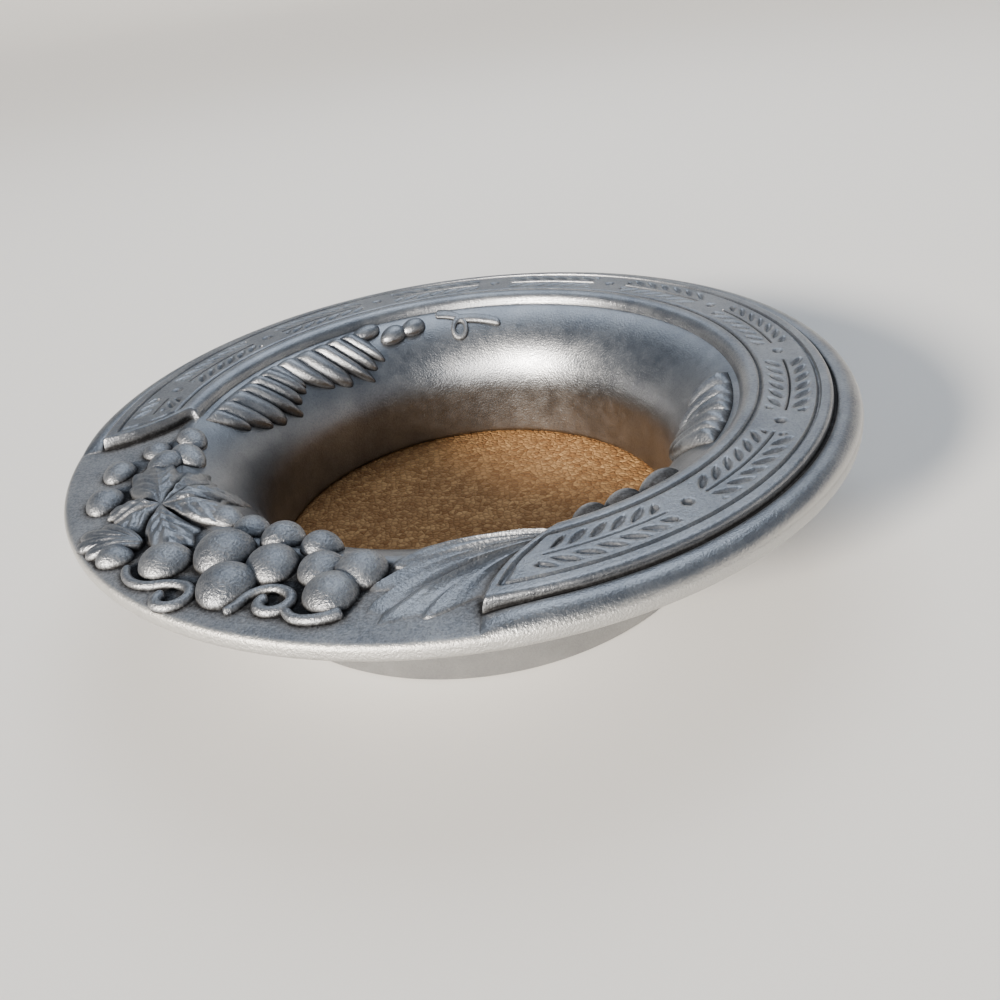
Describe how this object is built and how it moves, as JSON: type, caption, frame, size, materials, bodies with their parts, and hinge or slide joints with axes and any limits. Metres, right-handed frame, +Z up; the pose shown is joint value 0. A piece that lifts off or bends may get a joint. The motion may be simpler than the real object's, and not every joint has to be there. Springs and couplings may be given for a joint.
{
  "type": "wine bottle coaster",
  "caption": "Cast metal wine bottle coaster: a wide brim with a raised scroll banner and grapevine relief round a flared well, with a cork pad under the bottle.",
  "frame": {"origin": "on the table, on the axis of the well", "axes": "+Z up out of the well, -Y towards the front, where the grapes meet the banner's end"},
  "size_m": [0.152, 0.152, 0.0359],
  "materials": {
    "cast_metal": "satin cast, darkened in the recesses",
    "cork": "matt, granular"
  },
  "bodies": {
    "root": {"bottle_collar": "cast_metal", "cast_brim": "cast_metal", "cork_pad": "cork", "scroll_banner": "cast_metal", "grape_bunch_front": "cast_metal", "grape_bunch_left": "cast_metal", "lip_grapes": "cast_metal", "vine_leaf_large": "cast_metal", "vine_leaf_small": "cast_metal", "vine_leaf_front": "cast_metal", "tendril_left": "cast_metal", "tendril_front": "cast_metal", "inner_leaf_left": "cast_metal", "inner_leaf_right": "cast_metal", "inner_grapes_left": "cast_metal", "inner_grapes_right": "cast_metal", "inner_tendril_back": "cast_metal"}
  },
  "joints": []
}
